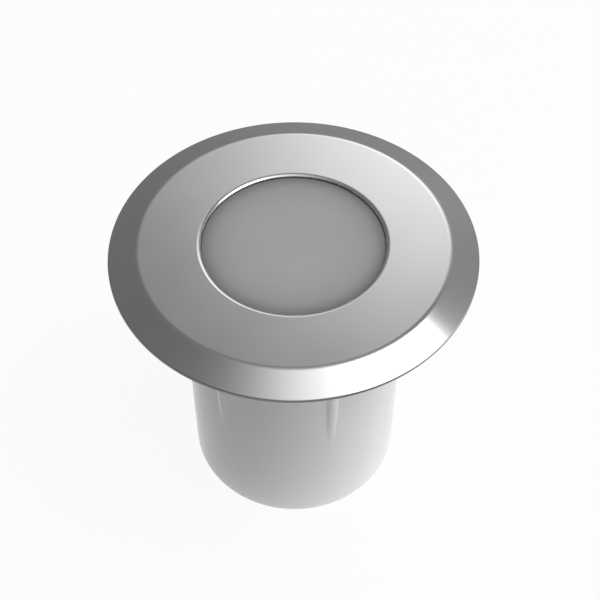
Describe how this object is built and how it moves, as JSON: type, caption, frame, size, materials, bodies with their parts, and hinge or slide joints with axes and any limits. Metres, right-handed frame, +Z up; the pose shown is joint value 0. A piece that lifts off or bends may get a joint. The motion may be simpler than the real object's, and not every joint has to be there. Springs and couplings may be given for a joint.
{
  "type": "in ground well light",
  "caption": "Recessed ground light: round bevelled face ring, flush frosted window, screw-on bezel over a sealed lamp unit, and a finned sleeve with cable outlet.",
  "frame": {"origin": "on the light's axis, in the plane of the face ring's underside, which is the ground line", "axes": "+Z up out of the ground along the axis; one fin of the sleeve lies along +X"},
  "size_m": [0.08, 0.08, 0.072],
  "materials": {
    "ring_steel": "satin machined stainless steel",
    "foam_gasket": "closed-cell foam",
    "spring_steel": "bright spring wire",
    "frosted_glass": "toughened, frosted",
    "seal_rubber": "black silicone",
    "lamp_aluminium": "turned and slotted",
    "opal_plastic": "opal",
    "reflector_plastic": "white moulded",
    "white_board": "white solder mask",
    "led_phosphor": "phosphor gel in a white package",
    "screw_steel": "plain",
    "pad_silicone": "soft filled silicone",
    "plate_aluminium": "turned",
    "lead_red": "silicone insulation",
    "lead_black": "silicone insulation",
    "green_board": "green solder mask",
    "standoff_brass": "turned",
    "choke_winding": "enamelled copper wire",
    "capacitor_jacket": "shrink jacket",
    "chip_epoxy": "moulded epoxy",
    "terminal_plastic": "moulded",
    "gland_nylon": "moulded nylon",
    "sleeve_plastic": "glossy white moulding"
  },
  "bodies": {
    "well": {"well_sleeve": "sleeve_plastic"},
    "lamp": {"rim_seal": "seal_rubber", "lamp_body": "lamp_aluminium", "body_oring": "seal_rubber", "grip_rings": "seal_rubber", "diffuser": "opal_plastic", "reflector": "reflector_plastic", "led_board": "white_board", "led_emitters": "led_phosphor", "led_board_screws": "screw_steel", "thermal_pad": "pad_silicone", "led_carrier": "plate_aluminium", "carrier_screws": "screw_steel", "lead_grommet": "seal_rubber", "led_lead_red": "lead_red", "led_lead_black": "lead_black", "driver_board": "green_board", "driver_standoffs": "standoff_brass", "driver_screws": "screw_steel", "driver_choke": "choke_winding", "driver_capacitor": "capacitor_jacket", "driver_chips": "chip_epoxy", "supply_terminal": "terminal_plastic", "terminal_screws": "screw_steel", "gland_body": "gland_nylon", "gland_oring": "seal_rubber", "gland_locknut": "gland_nylon", "gland_seal": "seal_rubber", "gland_nut": "gland_nylon"},
    "lens": {"glass_lens": "frosted_glass", "lens_seal": "seal_rubber"},
    "ring": {"face_ring": "ring_steel", "ground_gasket": "foam_gasket", "glass_retainer": "spring_steel"}
  },
  "joints": [
    {"name": "lamp_lift", "type": "slide", "parent": "well", "child": "lamp", "axis": [0, 0, 1], "range_m": [0, 0.075]},
    {"name": "bezel_rise", "type": "slide", "parent": "lamp", "child": "lens", "axis": [0, 0, 1], "range_m": [0, 0.0046]},
    {"name": "bezel_turn", "type": "hinge", "parent": "lens", "child": "ring", "pos_m": [0, 0, 0], "axis": [0, 0, 1], "range_deg": [0, 540]}
  ],
  "couplings": [
    {"joint": "bezel_rise", "follows": "bezel_turn", "m_per_rad": 0.00047746}
  ]
}
